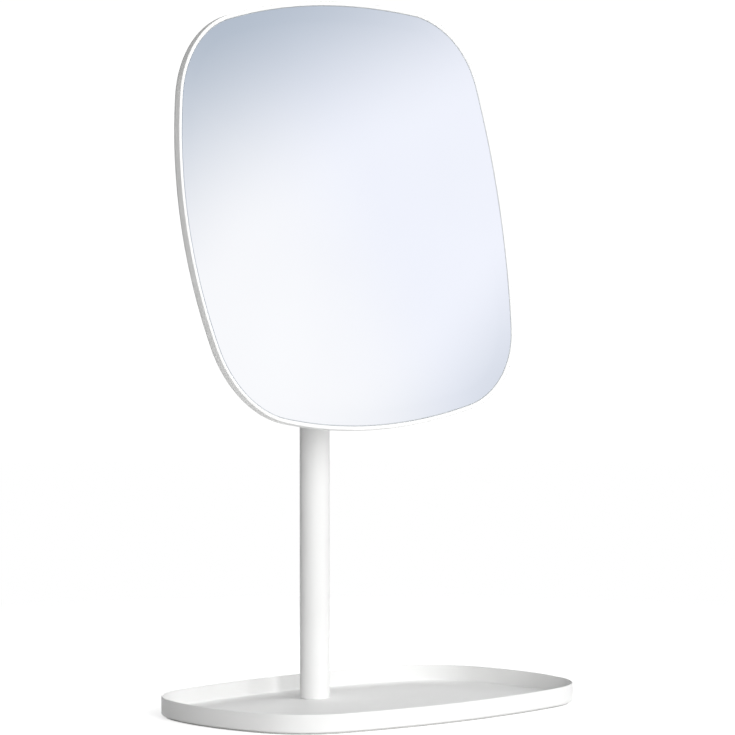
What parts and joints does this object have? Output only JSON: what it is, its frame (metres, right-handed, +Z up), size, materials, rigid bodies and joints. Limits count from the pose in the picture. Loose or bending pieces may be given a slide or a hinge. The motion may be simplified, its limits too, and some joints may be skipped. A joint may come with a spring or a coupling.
{
  "type": "vanity mirror",
  "caption": "Free-standing concave vanity mirror with soft square corners, tilting and turning on a round column that stands in a shallow storage tray.",
  "frame": {"origin": "middle of the tray, on the table top that the underlay rests on", "axes": "+X along the tray, to the right of a user who faces the glass, +Y to the rear, away from the user, +Z up"},
  "size_m": [0.2296, 0.1484, 0.3738],
  "materials": {
    "white_coated_steel": "satin powder coat",
    "silvered_glass": "polished, silvered on the back",
    "zinc_plated_steel": "bright zinc plate",
    "spring_steel": "plain rolled spring steel",
    "white_nylon": "moulded",
    "white_foam": "matt closed-cell foam"
  },
  "bodies": {
    "base": {"tray": "white_coated_steel", "underlay": "white_foam", "column_tube": "white_coated_steel", "foot_plug": "zinc_plated_steel", "column_screw": "zinc_plated_steel", "screw_washer": "zinc_plated_steel", "top_bush": "white_nylon"},
    "swivel": {"swivel_post": "white_coated_steel", "thrust_washer": "white_nylon", "swivel_spring": "spring_steel", "retaining_washer": "zinc_plated_steel", "retaining_screw": "zinc_plated_steel"},
    "head": {"mirror_glass": "silvered_glass", "bonding_pads": "white_foam", "back_pan": "white_coated_steel", "tilt_bracket": "white_coated_steel", "bracket_studs": "zinc_plated_steel", "bracket_nuts": "zinc_plated_steel", "tilt_bolt": "zinc_plated_steel", "friction_washers": "white_nylon", "tilt_springs": "spring_steel", "tilt_nut": "zinc_plated_steel"}
  },
  "joints": [
    {"name": "mirror_swivel", "type": "hinge", "parent": "base", "child": "swivel", "pos_m": [0, 0.0422, 0.24315], "axis": [0, 0, 1], "continuous": true},
    {"name": "mirror_tilt", "type": "hinge", "parent": "swivel", "child": "head", "pos_m": [0, 0.0422, 0.25585], "axis": [-1, 0, 0], "range_deg": [-17, 48]}
  ]
}
